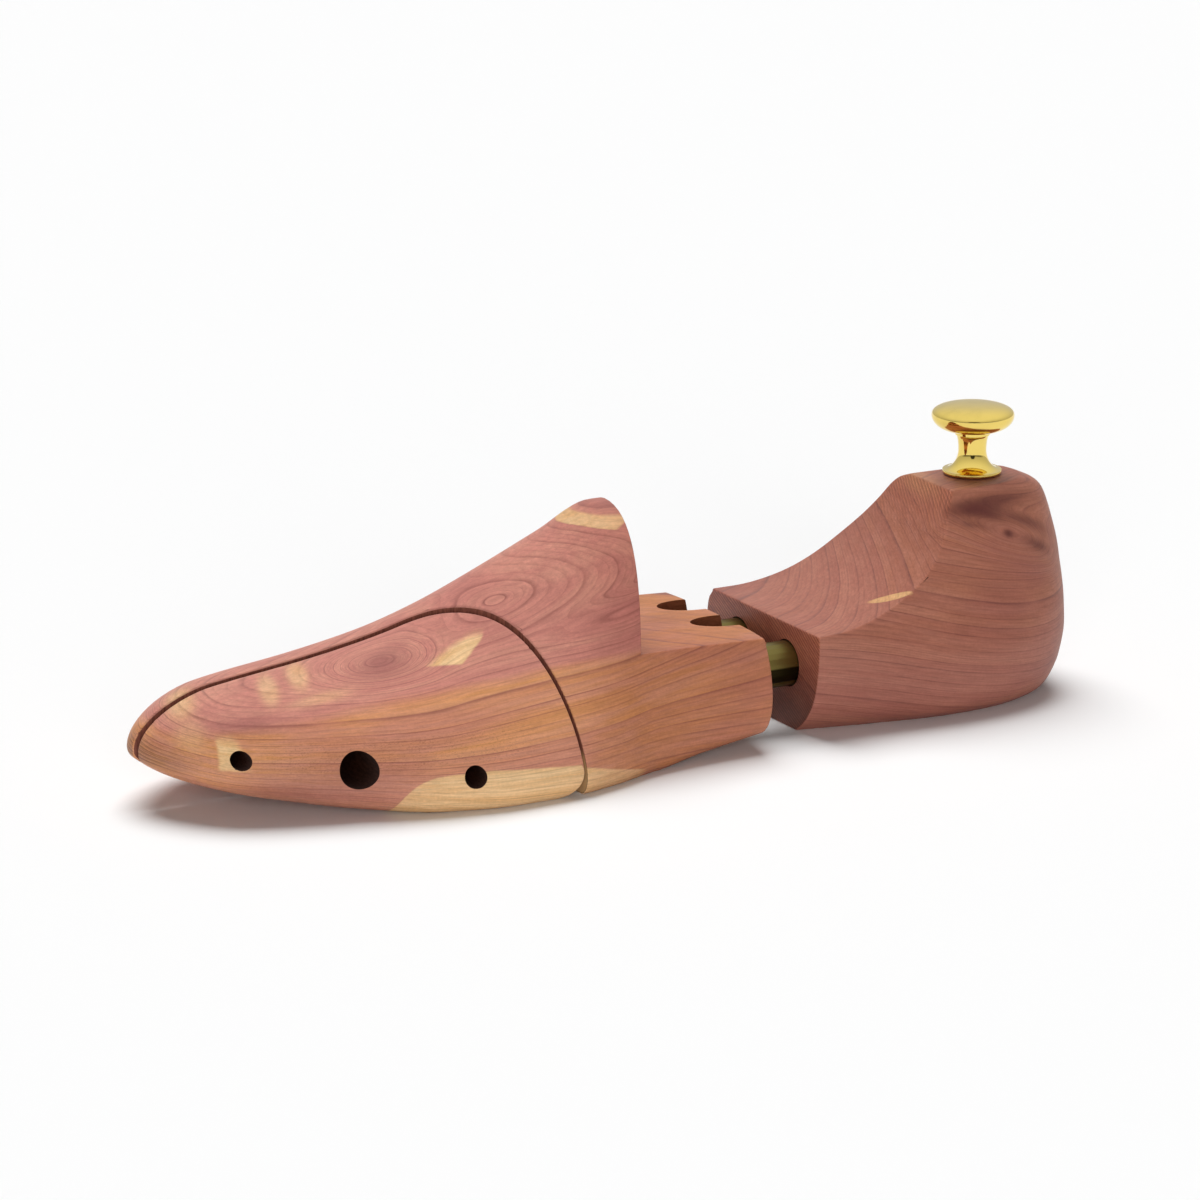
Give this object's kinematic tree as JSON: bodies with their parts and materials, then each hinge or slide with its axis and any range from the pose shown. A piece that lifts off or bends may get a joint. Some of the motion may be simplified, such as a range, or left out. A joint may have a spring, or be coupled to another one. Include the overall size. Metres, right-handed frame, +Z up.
{
  "type": "shoe tree",
  "caption": "Split-toe cedar shoe tree for a left shoe, with a lofted forepart, a sprung outer half, a scooped heel block on brass tubes and a turned brass pull knob.",
  "frame": {"origin": "on the ground, below the middle of the whole tree's box, with the heel drawn out as in the picture", "axes": "+X from the toe towards the heel, -Y towards the outer side of the foot, +Z up"},
  "size_m": [0.2794, 0.0838, 0.0801],
  "materials": {
    "cedar": "sanded, unvarnished aromatic red cedar",
    "plug_wood": "plain turned wood",
    "knob_brass": "polished and lacquered",
    "tube_brass": "drawn tube, lightly polished",
    "steel": "plain bright steel"
  },
  "bodies": {
    "forepart": {"forepart_block": "cedar", "tube_outer": "tube_brass", "tube_inner": "tube_brass", "tube_plug_outer": "plug_wood", "tube_plug_inner": "plug_wood", "tube_spring_outer": "steel", "tube_spring_inner": "steel", "tube_pin_outer": "steel", "tube_pin_inner": "steel", "dowel_front": "steel", "dowel_rear": "steel", "dowel_brad_front": "steel", "dowel_brad_rear": "steel", "toe_spring": "steel"},
    "toe_side": {"toe_side_block": "cedar", "dowel_stop_front": "steel", "dowel_stop_rear": "steel", "toe_spring_plug": "plug_wood"},
    "heel": {"heel_block": "cedar", "knob": "knob_brass", "knob_stud": "steel", "heel_pin_outer": "steel", "heel_pin_inner": "steel"}
  },
  "joints": [
    {"name": "heel_slide", "type": "slide", "parent": "forepart", "child": "heel", "axis": [1, 0, 0], "range_m": [-0.0115, 0], "stiffness_N_per_m": 7200, "springref_m": 0.004, "deforming": ["tube_spring_outer", "tube_spring_inner"]},
    {"name": "side_slide", "type": "slide", "parent": "forepart", "child": "toe_side", "axis": [0, -1, 0], "range_m": [-0.002, 0.004], "stiffness_N_per_m": 3700, "deforming": ["toe_spring"]}
  ]
}
